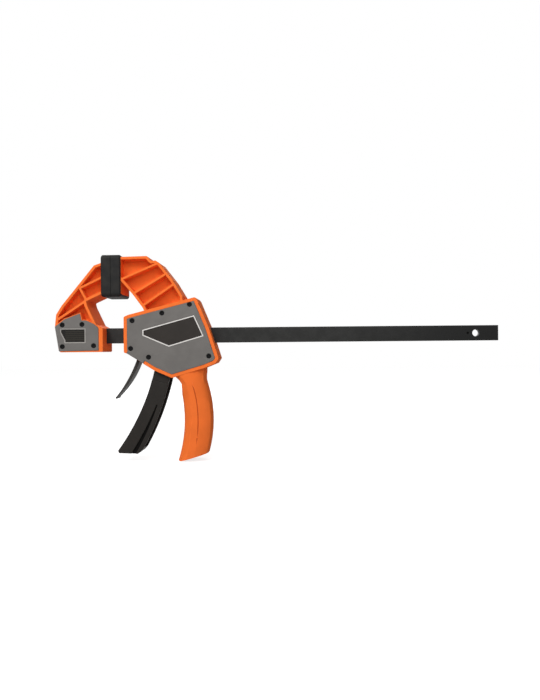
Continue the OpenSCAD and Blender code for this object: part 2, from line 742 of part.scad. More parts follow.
bar();
fixed_jaw_frame();
fixed_cover_near();
fixed_cover_far();
fixed_badge_near();
fixed_badge_far();
fixed_cover_screws();
fixed_jaw_pin();
fixed_pad();
housing();
main_cover_near();
main_cover_far();
label_plate_near();
label_plate_far();
main_cover_screws();
moving_pad();
trigger_pin();
drive_spring();
brake_spring();
trigger_lever();
drive_plate_1();
drive_plate_2();
drive_plate_3();
brake_plate();
release_lever();
release_rivets();
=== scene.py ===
"""Dresses the quick release bar clamp: rounded mouldings, finishes, studio and camera.

The CAD nodes are the fixed frame. Each one is copied, its copy is rounded as the real
piece is and given its finish, and the copy rides on the node's body in its place.
"""

import json
import logging
import math
from collections.abc import Callable, Iterator
from contextlib import contextmanager
from dataclasses import dataclass
from enum import Enum

import bmesh
import bpy
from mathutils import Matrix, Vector

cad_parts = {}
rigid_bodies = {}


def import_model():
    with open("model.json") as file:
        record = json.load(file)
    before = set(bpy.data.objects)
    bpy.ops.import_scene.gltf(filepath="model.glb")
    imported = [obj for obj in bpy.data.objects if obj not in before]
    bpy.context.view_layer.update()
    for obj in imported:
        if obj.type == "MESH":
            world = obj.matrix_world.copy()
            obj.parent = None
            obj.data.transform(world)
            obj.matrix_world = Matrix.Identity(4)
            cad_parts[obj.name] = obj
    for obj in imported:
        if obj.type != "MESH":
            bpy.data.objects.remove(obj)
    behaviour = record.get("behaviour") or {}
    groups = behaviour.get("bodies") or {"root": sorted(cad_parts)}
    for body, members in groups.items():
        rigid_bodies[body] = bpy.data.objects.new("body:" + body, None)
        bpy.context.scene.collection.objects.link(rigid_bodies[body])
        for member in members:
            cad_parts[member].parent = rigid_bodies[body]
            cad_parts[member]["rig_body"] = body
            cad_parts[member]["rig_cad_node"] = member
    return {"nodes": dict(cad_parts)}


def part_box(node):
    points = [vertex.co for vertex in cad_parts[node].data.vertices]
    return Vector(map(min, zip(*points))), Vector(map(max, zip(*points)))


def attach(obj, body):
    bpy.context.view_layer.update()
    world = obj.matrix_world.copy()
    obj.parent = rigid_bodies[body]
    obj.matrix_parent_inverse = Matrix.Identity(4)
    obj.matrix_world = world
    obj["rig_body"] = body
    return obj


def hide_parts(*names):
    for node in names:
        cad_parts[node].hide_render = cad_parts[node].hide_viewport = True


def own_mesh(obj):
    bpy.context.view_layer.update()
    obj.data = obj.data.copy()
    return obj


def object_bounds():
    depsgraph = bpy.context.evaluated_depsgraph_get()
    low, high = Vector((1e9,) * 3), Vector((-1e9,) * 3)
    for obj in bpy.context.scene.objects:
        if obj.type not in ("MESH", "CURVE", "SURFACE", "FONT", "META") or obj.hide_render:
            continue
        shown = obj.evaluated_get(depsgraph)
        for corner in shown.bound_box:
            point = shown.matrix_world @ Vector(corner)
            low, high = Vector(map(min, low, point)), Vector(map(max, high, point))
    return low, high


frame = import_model()
cad_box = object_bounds()

log = logging.getLogger("clamp")

MM = 0.001
# Corners that a rounding leaves nearer than this become one.
CRUMB = 0.02 * MM
# Corners nearer than this to a plane lie in it.
FLUSH = 0.03 * MM
# Corners of a CAD mesh that are nearer than this many millimetres become one.
WELD = 0.002
# Edges that turn by fewer than this many degrees aren't rounded.
BLUNT = 24
# Edges that turn by fewer than this many degrees are shaded smooth.
SMOOTH = 32
# How far large faces lead in the shading, where 50 is an even share.
LEAD = 80
# Noise lies mostly between these two values.
NOISE_LOW, NOISE_HIGH = 0.3, 0.7

Colour = tuple[float, float, float]
Axes = tuple[float, float, float]
Value = bpy.types.NodeSocket | float | Colour
EdgePick = Callable[[bmesh.types.BMEdge], bool]
FacePick = Callable[[bmesh.types.BMFace], bool]


class Body(Enum):
    """The moving bodies of the clamp, by their names in the record."""

    BAR = "bar_and_fixed_jaw"
    JAW = "moving_jaw"
    TRIGGER = "trigger"
    DRIVE = "drive_pack"
    BRAKE = "brake"


class Slot(Enum):
    """The material slots of the clamp, by their names in the record."""

    BAR = "bar_steel"
    ORANGE = "orange_plastic"
    GREY = "grey_plastic"
    INSET = "plate_dark"
    TRIGGER = "trigger_plastic"
    PAD = "pad_rubber"
    SCREW = "screw_steel"
    PIN = "pin_steel"
    SPRING = "spring_steel"
    PLATE = "plate_steel"
    LEVER = "lever_steel"


class Side(Enum):
    """The two faces of the clamp: near is towards -Y, far towards +Y."""

    NEAR = "near"
    FAR = "far"


class Axis(Enum):
    """Two axes of the clamp: X runs along the bar, and Y through its depth."""

    X = "X"
    Y = "Y"


class Maths(Enum):
    """The operations of the Math node that the finishes use."""

    ABSOLUTE = "ABSOLUTE"
    MAXIMUM = "MAXIMUM"
    MULTIPLY = "MULTIPLY"


def srgb(red: int, green: int, blue: int) -> Colour:
    """Turns a colour as seen on a screen into linear light.

    Args:
        red: Red from 0 to 255.
        green: Green from 0 to 255.
        blue: Blue from 0 to 255.

    Returns:
        The same colour as three linear numbers from 0 to 1.
    """
    shares = (red / 255, green / 255, blue / 255)
    low, knee, scale, offset, power = 0.04045, 12.92, 1.055, 0.055, 2.4
    return tuple(s / knee if s <= low else ((s + offset) / scale) ** power for s in shares)


# ---------------------------------------------------------------------------
# Mesh work
# ---------------------------------------------------------------------------


def pick_only(piece: bpy.types.Object) -> None:
    """Makes a piece the one selected and active object.

    Args:
        piece: The piece.
    """
    bpy.ops.object.select_all(action="DESELECT")
    piece.select_set(True)
    bpy.context.view_layer.objects.active = piece


@contextmanager
def editing(piece: bpy.types.Object) -> Iterator[None]:
    """Opens a piece in edit mode with nothing selected, and closes it again.

    Args:
        piece: The piece.

    Yields:
        Nothing, while the piece is open.
    """
    pick_only(piece)
    bpy.ops.object.mode_set(mode="EDIT")
    bpy.ops.mesh.select_all(action="DESELECT")
    try:
        yield
    finally:
        bpy.ops.object.mode_set(mode="OBJECT")


def copy_of_node(node: str, weld: float) -> bpy.types.Object:
    """Copies a CAD node as one welded mesh, free of its frame's marks.

    Args:
        node: Name of the CAD node.
        weld: Corners nearer than this many millimetres become one.

    Returns:
        The copy, at the origin, with its place in its mesh and no material.
    """
    pick_only(frame["nodes"][node])
    bpy.ops.object.duplicate()
    piece = bpy.context.active_object
    piece.parent = None
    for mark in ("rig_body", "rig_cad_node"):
        del piece[mark]
    piece.data.materials.clear()
    with editing(piece):
        bpy.ops.mesh.customdata_custom_splitnormals_clear()
        bpy.ops.mesh.select_all(action="SELECT")
        bpy.ops.mesh.remove_doubles(threshold=weld * MM)
    return piece


def fill_anew(piece: bpy.types.Object, depth: float) -> None:
    """Fills a piece's flat faces at a depth to both sides anew, from their outlines.

    Rounding draws an outline in and can fold the thin triangles that it meets.

    Args:
        piece: The piece.
        depth: Distance of the faces from the middle plane, in millimetres.
    """
    for side in (-1, 1):
        with editing(piece):
            bpy.ops.mesh.select_mode(type="FACE")
            mesh = bmesh.from_edit_mesh(piece.data)
            place = side * depth * MM
            flat = [face for face in mesh.faces
                    if all(abs(v.co.y - place) < FLUSH for v in face.verts)]
            if not flat:
                continue
            for face in flat:
                face.select_set(True)
            bmesh.update_edit_mesh(piece.data)
            bpy.ops.mesh.delete(type="FACE")
            bpy.ops.mesh.select_mode(type="EDGE")
            bpy.ops.mesh.select_non_manifold(extend=False, use_wire=False,
                                             use_multi_face=False,
                                             use_non_contiguous=False, use_verts=False)
            bpy.ops.mesh.fill(use_beauty=True)
            for face in bmesh.from_edit_mesh(piece.data).faces:
                face.normal_update()
                if face.select and face.normal.y * side < 0:
                    face.normal_flip()
            bmesh.update_edit_mesh(piece.data)


def smooth_piece(piece: bpy.types.Object) -> None:
    """Shades a piece smooth over its blunt edges, and keeps its flat faces flat.

    Args:
        piece: The piece.
    """
    pick_only(piece)
    bpy.ops.object.shade_smooth_by_angle(angle=math.radians(SMOOTH))
    weighted = piece.modifiers.new("Flat faces lead", "WEIGHTED_NORMAL")
    weighted.keep_sharp = True
    weighted.weight = LEAD
    bpy.ops.object.modifier_apply(modifier=weighted.name)


@dataclass(frozen=True)
class Edges:
    """One round of rounding: which edges it takes, how wide and how fine.

    Attributes:
        width: Width of the rounding in millimetres.
        picks: Says whether an edge, in a mesh in edit mode, is taken.
        segments: Steps across the rounding.
        flat_at: Depth in millimetres of the flat faces that it draws in, if there are any.
    """

    width: float
    picks: EdgePick
    segments: int = 3
    flat_at: float | None = None

    def round_on(self, piece: bpy.types.Object) -> None:
        """Rounds the edges that it takes on a piece.

        Args:
            piece: The piece.
        """
        with editing(piece):
            mesh = bmesh.from_edit_mesh(piece.data)
            for edge in mesh.edges:
                turn = math.degrees(edge.calc_face_angle(0))
                edge.select_set(turn > BLUNT and self.picks(edge))
            bmesh.update_edit_mesh(piece.data)
            bpy.ops.mesh.select_mode(type="EDGE")
            bpy.ops.mesh.bevel(offset=self.width * MM, segments=self.segments,
                               affect="EDGES", clamp_overlap=False, loop_slide=False,
                               miter_outer="ARC")
            bpy.ops.mesh.select_all(action="SELECT")
            bpy.ops.mesh.remove_doubles(threshold=CRUMB)
        if self.flat_at is not None:
            fill_anew(piece, self.flat_at)


def all_edges(width: float, segments: int = 2) -> Edges:
    """Rounds every edge by a width in millimetres."""
    return Edges(width, lambda edge: True, segments)


def lies_at(depth: float) -> EdgePick:
    """Picks edges in the two planes at a depth of some millimetres to both sides."""
    return lambda edge: all(abs(abs(v.co.y) - depth * MM) < FLUSH for v in edge.verts)


def rim(depth: float, width: float) -> Edges:
    """Rounds the outlines of the flat faces at a depth, both in millimetres."""
    return Edges(width, lies_at(depth), flat_at=depth)


def in_cross_plane(place: float) -> EdgePick:
    """Picks edges in the plane across the bar at a place in metres."""
    near = 0.1 * MM
    return lambda edge: all(abs(v.co.x - place) < near for v in edge.verts)


def between(low: float, high: float) -> FacePick:
    """Picks the faces whose middles lie between two depths in millimetres on both sides."""
    return lambda face: low * MM < abs(face.calc_center_median().y) < high * MM


def in_crease(face: bmesh.types.BMFace) -> bool:
    """Picks the slope that runs into the crease between the grip's side and its back.

    Args:
        face: A face of the housing.

    Returns:
        Whether it belongs to the slope.
    """
    side, front, back, top = (place * MM for place in (14, -353, -338, -60))
    least_back, most_back, least_out = 0.35, 0.65, 0.75
    middle = face.calc_center_median()
    return (least_back < face.normal.x < most_back and abs(face.normal.y) > least_out
            and front < middle.x < back and middle.z < top
            and all(abs(v.co.y) > side for v in face.verts))


def in_groove(face: bmesh.types.BMFace) -> bool:
    """Picks the floor and walls of the groove along the trigger's side.

    Args:
        face: A face of the trigger.

    Returns:
        Whether it belongs to the groove.
    """
    floor, brim, top = (place * MM for place in (10.9, 12.6, -66))
    middle = face.calc_center_median()
    return (middle.z < top and abs(middle.y) > floor
            and all(floor < abs(v.co.y) < brim for v in face.verts))


def in_punch(face: bmesh.types.BMFace) -> bool:
    """Picks the floor and wall of the stop mark that is punched beside the hanging hole.

    Args:
        face: A face of the bar.

    Returns:
        Whether it belongs to the mark.
    """
    front, back, skin, reach = (place * MM for place in (-12, -8, 2.99, 2))
    middle = face.calc_center_median()
    return front < middle.x < back and abs(middle.y) < skin and abs(middle.z) < reach


# ---------------------------------------------------------------------------
# Finishes
# ---------------------------------------------------------------------------


class NodeWork:
    """Adds and links the nodes of one node tree.

    Attributes:
        tree: The node tree.
        shader: The node that the others lead to.
    """

    tree: bpy.types.NodeTree
    shader: bpy.types.Node

    def add(self, kind: str, **settings: object) -> bpy.types.Node:
        """Adds a node.

        Args:
            kind: Blender's name of the node type.
            **settings: Attributes to set on the node.

        Returns:
            The new node.
        """
        node = self.tree.nodes.new(kind)
        for name, value in settings.items():
            setattr(node, name, value)
        return node

    def feed(self, socket: bpy.types.NodeSocket, value: Value) -> None:
        """Links a socket into another, or sets it to a plain value.

        Args:
            socket: The socket that is fed.
            value: Another socket, a number, or three numbers.
        """
        if isinstance(value, bpy.types.NodeSocket):
            self.tree.links.new(value, socket)
        elif isinstance(value, tuple) and len(value) == 3 and socket.type == "RGBA":
            socket.default_value = (*value, 1)
        else:
            socket.default_value = value

    def maths(self, kind: Maths, *values: Value) -> bpy.types.NodeSocket:
        """Works out a sum with a Math node.

        Args:
            kind: The operation.
            *values: The sockets or numbers that go into it.

        Returns:
            The outcome.
        """
        node = self.add("ShaderNodeMath", operation=kind.value)
        for socket, value in zip(node.inputs, values):
            self.feed(socket, value)
        return node.outputs[0]

    def span(self, value: bpy.types.NodeSocket, low: float, high: float, to_low: float,
             to_high: float) -> bpy.types.NodeSocket:
        """Maps a value between two limits on to two others, smoothly and clamped.

        Args:
            value: The value.
            low: Its lower limit.
            high: Its upper limit.
            to_low: What the lower limit becomes.
            to_high: What the upper limit becomes.

        Returns:
            The mapped value.
        """
        node = self.add("ShaderNodeMapRange", interpolation_type="SMOOTHSTEP")
        for name, number in zip(("From Min", "From Max", "To Min", "To Max"),
                                (low, high, to_low, to_high)):
            self.feed(node.inputs[name], number)
        self.feed(node.inputs["Value"], value)
        return node.outputs["Result"]

    def seen_directly(self) -> bpy.types.NodeSocket:
        """Tells the rays that see a thing from those that it only lights.

        Returns:
            1 for rays from the camera, from mirrors and through glass, and otherwise 0.
        """
        rays = self.add("ShaderNodeLightPath").outputs
        both = self.maths(Maths.MAXIMUM, rays["Is Camera Ray"], rays["Is Glossy Ray"])
        return self.maths(Maths.MAXIMUM, both, rays["Is Transmission Ray"])


class Sketch(NodeWork):
    """Builds the nodes of one material round its Principled shader.

    Attributes:
        material: The material.
        place: Object coordinates.
    """

    def __init__(self, name: str) -> None:
        """Starts a material.

        Args:
            name: Name of the material.
        """
        self.material = bpy.data.materials.new(name)
        self.material.use_nodes = True
        self.tree = self.material.node_tree
        self.shader = self.tree.nodes["Principled BSDF"]
        self.place = self.add("ShaderNodeTexCoord").outputs["Object"]

    def along(self, axis: Axis) -> bpy.types.NodeSocket:
        """Gives the place along an axis.

        Args:
            axis: The axis.

        Returns:
            The place in metres.
        """
        parts = self.add("ShaderNodeSeparateXYZ")
        self.feed(parts.inputs["Vector"], self.place)
        return parts.outputs[axis.value]

    def noise(self, grain: float, detail: float, stretch: Axes = (1, 1, 1)
              ) -> bpy.types.NodeSocket:
        """Makes cloudy noise.

        Args:
            grain: Size of its blotches in millimetres.
            detail: How many finer layers it has.
            stretch: Scale of the pattern along each axis.

        Returns:
            The noise, from 0 to 1 and mostly about a half.
        """
        mapping = self.add("ShaderNodeMapping")
        self.feed(mapping.inputs["Vector"], self.place)
        self.feed(mapping.inputs["Scale"], stretch)
        node = self.add("ShaderNodeTexNoise")
        self.feed(node.inputs["Vector"], mapping.outputs["Vector"])
        self.feed(node.inputs["Scale"], 1 / (grain * MM))
        self.feed(node.inputs["Detail"], detail)
        return node.outputs["Fac"]

    def blend(self, share: Value, first: Value, second: Value) -> bpy.types.NodeSocket:
        """Mixes two colours.

        Args:
            share: Share of the second colour, from 0 to 1.
            first: The first colour.
            second: The second colour.

        Returns:
            The mixed colour.
        """
        # The Mix node's colour sockets have the same names as its others.
        first_colour, second_colour, mixed = 6, 7, 2
        node = self.add("ShaderNodeMix", data_type="RGBA")
        self.feed(node.inputs["Factor"], share)
        self.feed(node.inputs[first_colour], first)
        self.feed(node.inputs[second_colour], second)
        return node.outputs[mixed]

    def clouded(self, colour: Colour, clouds: bpy.types.NodeSocket, variation: float
                ) -> bpy.types.NodeSocket:
        """Makes a colour darker and paler in clouds.

        Args:
            colour: The colour.
            clouds: The noise that gives the clouds.
            variation: Share by which the colour varies.

        Returns:
            The clouded colour.
        """
        dark = tuple(c * (1 - variation) for c in colour)
        pale = tuple(min(1, c * (1 + variation)) for c in colour)
        return self.blend(self.span(clouds, NOISE_LOW, NOISE_HIGH, 0, 1), dark, pale)

    def relief(self, height: bpy.types.NodeSocket, depth: float) -> bpy.types.NodeSocket:
        """Turns a height into a bumped normal.

        Args:
            height: The height, from 0 to 1.
            depth: What a height of 1 is in millimetres.

        Returns:
            The bumped normal.
        """
        node = self.add("ShaderNodeBump")
        self.feed(node.inputs["Height"], height)
        self.feed(node.inputs["Distance"], depth * MM)
        return node.outputs["Normal"]

    def edges(self, reach: float) -> bpy.types.NodeSocket:
        """Tells how near a place is to a sharp edge or corner.

        Args:
            reach: Reach of the edge in millimetres.

        Returns:
            0 on flat stretches and 1 on edges.
        """
        flat, sharp = 0.99, 0.86
        rounded = self.add("ShaderNodeBevel", samples=6)
        self.feed(rounded.inputs["Radius"], reach * MM)
        straight = self.add("ShaderNodeNewGeometry")
        node = self.add("ShaderNodeVectorMath", operation="DOT_PRODUCT")
        self.feed(node.inputs[0], rounded.outputs["Normal"])
        self.feed(node.inputs[1], straight.outputs["Normal"])
        return self.span(node.outputs["Value"], flat, sharp, 0, 1)

    def paler_edge_patches(self, reach: float, patch: float, least: float, most: float
                     ) -> bpy.types.NodeSocket:
        """Tells how far a place takes the paler edge colour, on its edges and in patches.

        Args:
            reach: Reach of the edges in millimetres.
            patch: Size of the patches in millimetres.
            least: How far the edges are paler between the patches.
            most: How far they are paler in the patches.

        Returns:
            0 on flat stretches, and at most the larger share on edges.
        """
        low, high = 0.35, 0.65
        share = self.span(self.noise(patch, detail=4), low, high, least, most)
        return self.maths(Maths.MULTIPLY, self.edges(reach), share)

    def dress(self, **sockets: Value) -> bpy.types.Material:
        """Sets the shader's sockets by name, with underscores for spaces.

        Args:
            **sockets: Values or sockets, such as Base_Color=... or Roughness=...

        Returns:
            The finished material.
        """
        for name, value in sockets.items():
            self.feed(self.shader.inputs[name.replace("_", " ")], value)
        return self.material


@dataclass(frozen=True)
class Finish:
    """A finish with paler edges, which are rubbed wear, and on the moulded plastics a
    painted highlight as well.

    Attributes:
        name: Name of its material.
        colour: Colour of the surface.
        rubbed: Colour of its paler edges: rubbed wear, and on the moulded plastics a
            painted highlight as well.
    """

    name: str
    colour: Colour
    rubbed: Colour

    def material(self) -> bpy.types.Material:
        """Builds the material."""
        raise NotImplementedError


@dataclass(frozen=True)
class MouldedPlastic(Finish):
    """Moulded plastic with a fine grain, slight clouds, and paler edges that are rubbed
    wear and a painted highlight.

    Attributes:
        edge_share: Share of the paler edge colour on the edges, as rubbed wear and painted
            highlight.
        roughness: Its middle roughness.
        swing: How far the grain makes the roughness vary.
        gloss: Specular level.
        grain: Size of the moulded grain in millimetres.
        grain_depth: Depth of the grain in millimetres.
        cloud: Size of the clouds in millimetres.
        variation: Share by which the colour varies.
        seam: Share by which its parting line, in the middle plane, is darker.
        seam_shade: Share of the colour that is left where that line is darkest.
    """

    edge_share: float = 0.35
    roughness: float = 0.42
    swing: float = 0.06
    gloss: float = 0.5
    grain: float = 0.5
    grain_depth: float = 0.012
    cloud: float = 14
    variation: float = 0.12
    seam: float = 0
    seam_shade: float = 0.3

    def material(self) -> bpy.types.Material:
        """Builds the material.

        Returns:
            The material.
        """
        sketch = Sketch(self.name)
        clouds = sketch.noise(self.cloud, detail=4)
        body = sketch.clouded(self.colour, clouds, self.variation)
        if self.seam:
            body = self.with_seam(sketch, body)
        # Paler edges: rubbed wear, and a painted highlight along the edges.
        paler_edge_mask = sketch.paler_edge_patches(reach=0.5, patch=3, least=0.3 * self.edge_share,
                                   most=self.edge_share)
        grain = sketch.noise(self.grain, detail=3)
        return sketch.dress(
            Base_Color=sketch.blend(paler_edge_mask, body, self.rubbed),
            Roughness=sketch.span(grain, NOISE_LOW, NOISE_HIGH,
                                  self.roughness - self.swing, self.roughness + self.swing),
            Specular_IOR_Level=self.gloss,
            Normal=sketch.relief(grain, self.grain_depth))

    def with_seam(self, sketch: Sketch, body: bpy.types.NodeSocket) -> bpy.types.NodeSocket:
        """Draws the parting line on the plastic's colour.

        Args:
            sketch: The material's sketch.
            body: The colour without the line.

        Returns:
            The colour with the line.
        """
        core, brim = 0.1 * MM, 0.3 * MM
        depth = sketch.maths(Maths.ABSOLUTE, sketch.along(Axis.Y))
        line = sketch.span(depth, core, brim, self.seam, 0)
        return sketch.blend(line, body, tuple(c * self.seam_shade for c in self.colour))


@dataclass(frozen=True)
class PaintedFalloff:
    """Where and how far painted shade darkens a finish along the bar, as light that falls
    off towards its tail.

    Attributes:
        start: Place along the bar where it starts, in millimetres.
        end: Place where it ends, in millimetres.
        share: Share of the colour that is left at its end.
    """

    start: float
    end: float
    share: float


@dataclass(frozen=True)
class DrawnSteel(Finish):
    """Steel with fine drawn lines, slight clouds and edges rubbed bright.

    Attributes:
        metallic: Share of bare metal.
        roughness: Its middle roughness.
        lines: Scale of the lines' pattern along each axis.
        edge_share: Share of the rubbed colour on the edges.
        swing: How far the lines make the roughness vary.
        gloss: Specular level.
        line: Width of the lines in millimetres.
        line_depth: Depth of the lines in millimetres.
        cloud: Size of the clouds in millimetres.
        variation: Share by which the colour varies.
        painted_falloff: How painted shade darkens it along the bar, if it does.
    """

    metallic: float
    roughness: float
    lines: Axes = (0.02, 1, 1)
    edge_share: float = 0.6
    swing: float = 0.07
    gloss: float = 0.5
    line: float = 0.35
    line_depth: float = 0.006
    cloud: float = 9
    variation: float = 0.2
    painted_falloff: PaintedFalloff | None = None

    def material(self) -> bpy.types.Material:
        """Builds the material.

        Returns:
            The material.
        """
        sketch = Sketch(self.name)
        lines = sketch.noise(self.line, detail=3, stretch=self.lines)
        clouds = sketch.noise(self.cloud, detail=5)
        body = sketch.clouded(self.colour, clouds, self.variation)
        # Painted shade: the bar darkens along its length towards its tail.
        if self.painted_falloff:
            deep = tuple(c * self.painted_falloff.share for c in self.colour)
            faded = sketch.span(sketch.along(Axis.X), self.painted_falloff.start * MM,
                                self.painted_falloff.end * MM, 0, 1)
            body = sketch.blend(faded, body, deep)
        paler_edge_mask = sketch.paler_edge_patches(reach=0.4, patch=2.5, least=0.2 * self.edge_share,
                                   most=self.edge_share)
        low, high = 0.25, 0.75
        return sketch.dress(
            Base_Color=sketch.blend(paler_edge_mask, body, self.rubbed),
            Metallic=self.metallic,
            Roughness=sketch.span(lines, low, high, self.roughness - self.swing,
                                  self.roughness + self.swing),
            Specular_IOR_Level=self.gloss,
            Normal=sketch.relief(lines, self.line_depth))


@dataclass(frozen=True)
class Rubber(Finish):
    """Soft matte plastic with a fine speckle, and dust in clouds and on its edges.

    Attributes:
        roughness: Its middle roughness.
        swing: How far the speckle makes the roughness vary.
        gloss: Specular level.
        speckle: Size of the speckle in millimetres.
        speckle_depth: Depth of the speckle in millimetres.
        cloud: Size of the clouds in millimetres.
        dust: Share of the rubbed colour in the clouds and on the edges.
    """

    roughness: float = 0.65
    swing: float = 0.07
    gloss: float = 0.15
    speckle: float = 0.6
    speckle_depth: float = 0.02
    cloud: float = 11
    dust: float = 0.5

    def material(self) -> bpy.types.Material:
        """Builds the material.

        Returns:
            The material.
        """
        sketch = Sketch(self.name)
        speckle = sketch.noise(self.speckle, detail=4)
        clouds = sketch.noise(self.cloud, detail=4)
        low = 0.35
        body = sketch.blend(sketch.span(clouds, low, NOISE_HIGH, 0, self.dust),
                            self.colour, self.rubbed)
        paler_edge_mask = sketch.maths(Maths.MULTIPLY, sketch.edges(reach=0.9), self.dust)
        return sketch.dress(
            Base_Color=sketch.blend(paler_edge_mask, body, self.rubbed),
            Roughness=sketch.span(speckle, NOISE_LOW, NOISE_HIGH,
                                  self.roughness - self.swing, self.roughness + self.swing),
            Specular_IOR_Level=self.gloss,
            Normal=sketch.relief(speckle, self.speckle_depth))


class Finishes:
    """The clamp's finishes, each built once.

    Attributes:
        built: The materials that are built, by their names.
    """

    orange = MouldedPlastic("orange_moulding", srgb(242, 116, 50), srgb(250, 160, 112),
                            roughness=0.8, gloss=0.1, variation=0.03, seam=0.7)
    # Painted shade: a darker orange painted into the crease on the grip's sides, where
    # shade falls.
    crease = MouldedPlastic("orange_in_shade", srgb(190, 80, 30), srgb(200, 90, 40),
                            roughness=0.8, gloss=0.1, variation=0.05)
    grey = MouldedPlastic("grey_cover", srgb(104, 101, 98), srgb(150, 147, 142),
                          roughness=0.5, gloss=0.25, grain=0.45, grain_depth=0.02,
                          variation=0.06)
    label = MouldedPlastic("label_plate", srgb(44, 40, 37), srgb(80, 75, 69),
                           roughness=0.45, gloss=0.15, grain=0.3, variation=0.08)
    label_border = MouldedPlastic("pale_border", srgb(218, 214, 210), srgb(232, 230, 226),
                                  roughness=0.45, gloss=0.3, variation=0.03)
    badge = MouldedPlastic("dark_plate", srgb(23, 21, 19), srgb(52, 49, 45),
                           roughness=0.45, gloss=0.15, grain=0.3, variation=0.08)
    badge_bar = MouldedPlastic("plate_bar", srgb(47, 44, 38), srgb(66, 62, 55),
                               roughness=0.45, gloss=0.15, grain=0.3, variation=0.08)
    badge_border = MouldedPlastic("badge_border", srgb(150, 146, 141), srgb(176, 172, 168),
                                  roughness=0.45, gloss=0.3, variation=0.04)
    trigger = MouldedPlastic("trigger_moulding", srgb(34, 31, 28), srgb(80, 76, 72),
                             roughness=0.55, gloss=0.15, grain_depth=0.03, variation=0.1)
    # Painted shade: a near-black plastic painted on the floor and walls of the trigger's
    # groove, where shade falls.
    groove = MouldedPlastic("trigger_in_shade", srgb(14, 13, 12), srgb(20, 19, 18),
                            roughness=0.6, gloss=0.05, variation=0.1)
    # The bar's falloff is painted shade that darkens it towards its tail.
    bar = DrawnSteel("black_oxide_bar", srgb(35, 35, 34), srgb(90, 88, 86),
                     metallic=0.2, roughness=0.45, gloss=0.2,
                     painted_falloff=PaintedFalloff(start=-220, end=30, share=0.3))
    # Painted shade: near-black painted on the floor and wall of the punched stop mark,
    # where shade falls.
    painted_punch_shade = DrawnSteel("punched_mark_in_shade", srgb(8, 8, 8), srgb(14, 14, 14),
                       metallic=0.0, roughness=0.6, gloss=0.05)
    screw = DrawnSteel("screw_head", srgb(10, 10, 11), srgb(34, 34, 37),
                       metallic=0.1, roughness=0.5, gloss=0.1)
    lever = DrawnSteel("lever_steel", srgb(54, 52, 49), srgb(104, 101, 97),
                       metallic=0.1, roughness=0.5, lines=(1, 1, 0.05), gloss=0.1)
    plate = DrawnSteel("hardened_plate", srgb(130, 128, 124), srgb(190, 188, 184),
                       metallic=0.85, roughness=0.38, lines=(1, 1, 0.05))
    pin = DrawnSteel("pin_steel", srgb(150, 150, 150), srgb(200, 200, 200),
                     metallic=0.95, roughness=0.3, lines=(1, 0.05, 1))
    spring = DrawnSteel("spring_wire", srgb(150, 148, 144), srgb(190, 188, 184),
                        metallic=0.95, roughness=0.32, lines=(1, 1, 1))
    pad = Rubber("pad_rubber", srgb(24, 24, 24), srgb(44, 42, 39))

    def __init__(self) -> None:
        """Starts with no material built."""
        self.built: dict[str, bpy.types.Material] = {}

    def of(self, finish: Finish) -> bpy.types.Material:
        """Gives a finish's material, and builds it the first time.

        Args:
            finish: The finish.

        Returns:
            Its material.
        """
        if finish.name not in self.built:
            self.built[finish.name] = finish.material()
        return self.built[finish.name]


# ---------------------------------------------------------------------------
# The clamp
# ---------------------------------------------------------------------------


@dataclass
class SubAssembly:
    """Pieces that ride on one body.

    Attributes:
        finishes: The clamp's finishes.
        body: The body that the pieces ride on.
    """

    finishes: Finishes
    body: Body

    def build(self) -> None:
        """Dresses its pieces."""
        raise NotImplementedError

    def dress_node(self, node: str, finish: Finish, slot: Slot, *rounds: Edges,
                   weld: float = WELD) -> bpy.types.Object:
        """Puts a rounded, finished copy in a CAD node's place.

        Args:
            node: Name of the CAD node.
            finish: Finish of the whole piece.
            slot: The material slot that the finish stands for. Not used.
            *rounds: The rounds in which its edges are rounded.
            weld: Corners nearer than this many millimetres become one.

        Returns:
            The dressed piece.
        """
        piece = copy_of_node(node, weld)
        piece.name = f"dressed_{node}"
        piece.data.materials.append(self.finishes.of(finish))
        for edges in rounds:
            edges.round_on(piece)
        smooth_piece(piece)
        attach(piece, self.body.value)
        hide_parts(node)
        log.info("%s: %d faces", piece.name, len(piece.data.polygons))
        return piece

    def paint(self, piece: bpy.types.Object, finish: Finish, picks: FacePick) -> None:
        """Gives some faces of a dressed piece a finish of their own.

        Args:
            piece: The dressed piece.
            finish: Finish of the picked faces.
            picks: Says whether a face, in a mesh in edit mode, is picked.
        """
        piece.data.materials.append(self.finishes.of(finish))
        with editing(piece):
            mesh = bmesh.from_edit_mesh(piece.data)
            for face in mesh.faces:
                face.select_set(picks(face))
            bmesh.update_edit_mesh(piece.data)
            piece.active_material_index = len(piece.data.materials) - 1
            bpy.ops.object.material_slot_assign()


